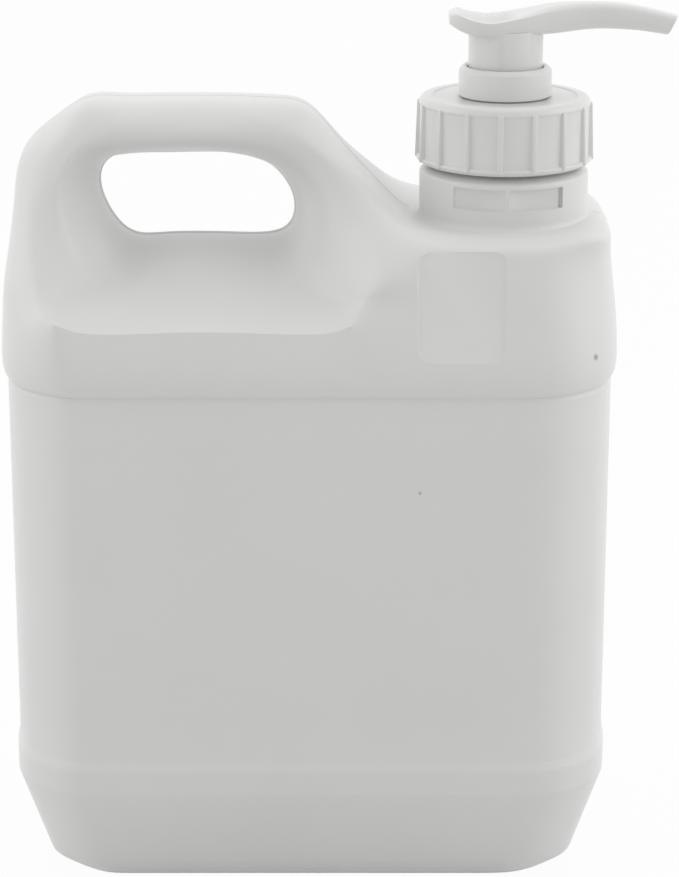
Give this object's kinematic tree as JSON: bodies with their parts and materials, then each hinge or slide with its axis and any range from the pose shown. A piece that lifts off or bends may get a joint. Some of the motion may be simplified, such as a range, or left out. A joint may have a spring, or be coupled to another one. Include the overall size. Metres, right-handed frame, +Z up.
{
  "type": "shampoo dispenser jug",
  "caption": "Blow-moulded plastic jug with a through handle, a stepped shoulder and a lotion pump held on its round neck by a ribbed screw closure.",
  "frame": {"origin": "centre of the flat base, on the surface the jug stands on", "axes": "+Z up along the neck; +X from the handle towards the neck; the pictured face looks along -Y"},
  "size_m": [0.1698, 0.0868, 0.2207],
  "materials": {
    "shell": "natural white blow-moulded polyethylene, satin",
    "moulded": "white injection-moulded polypropylene",
    "foam": "soft sealing foam",
    "milky": "milky polyethylene",
    "steel": "stainless steel wire and balls"
  },
  "bodies": {
    "jug": {"jug_shell": "shell"},
    "pump": {"pump_housing": "moulded", "lock_collar": "moulded", "neck_gasket": "foam", "dip_tube": "milky", "return_spring": "steel"},
    "closure": {"screw_cap": "moulded"},
    "piston_ring": {"piston": "milky"},
    "plunger": {"pump_stem": "moulded", "stem_plug": "moulded", "actuator_head": "moulded"},
    "inlet_valve": {"inlet_ball": "steel"},
    "outlet_valve": {"outlet_ball": "steel"}
  },
  "joints": [
    {"name": "pump_rise", "type": "slide", "parent": "jug", "child": "pump", "axis": [0, 0, 1], "range_m": [0, 0.00634]},
    {"name": "cap_turn", "type": "hinge", "parent": "pump", "child": "closure", "pos_m": [0.049, 0, 0.19], "axis": [0, 0, 1], "range_deg": [0, 540]},
    {"name": "pump_stroke", "type": "slide", "parent": "pump", "child": "piston_ring", "axis": [0, 0, -1], "range_m": [0, 0.0072], "stiffness_N_per_m": 250, "springref_m": -0.012, "deforming": ["return_spring"]},
    {"name": "spout_turn", "type": "hinge", "parent": "piston_ring", "child": "plunger", "pos_m": [0.049, 0, 0.21], "axis": [0, 0, 1], "continuous": true},
    {"name": "inlet_ball_lift", "type": "slide", "parent": "pump", "child": "inlet_valve", "axis": [0, 0, 1], "range_m": [0, 0.0012]},
    {"name": "outlet_ball_lift", "type": "slide", "parent": "plunger", "child": "outlet_valve", "axis": [0, 0, 1], "range_m": [0, 0.001]}
  ],
  "couplings": [
    {"joint": "cap_turn", "follows": "pump_rise", "rad_per_m": 1485.9}
  ]
}
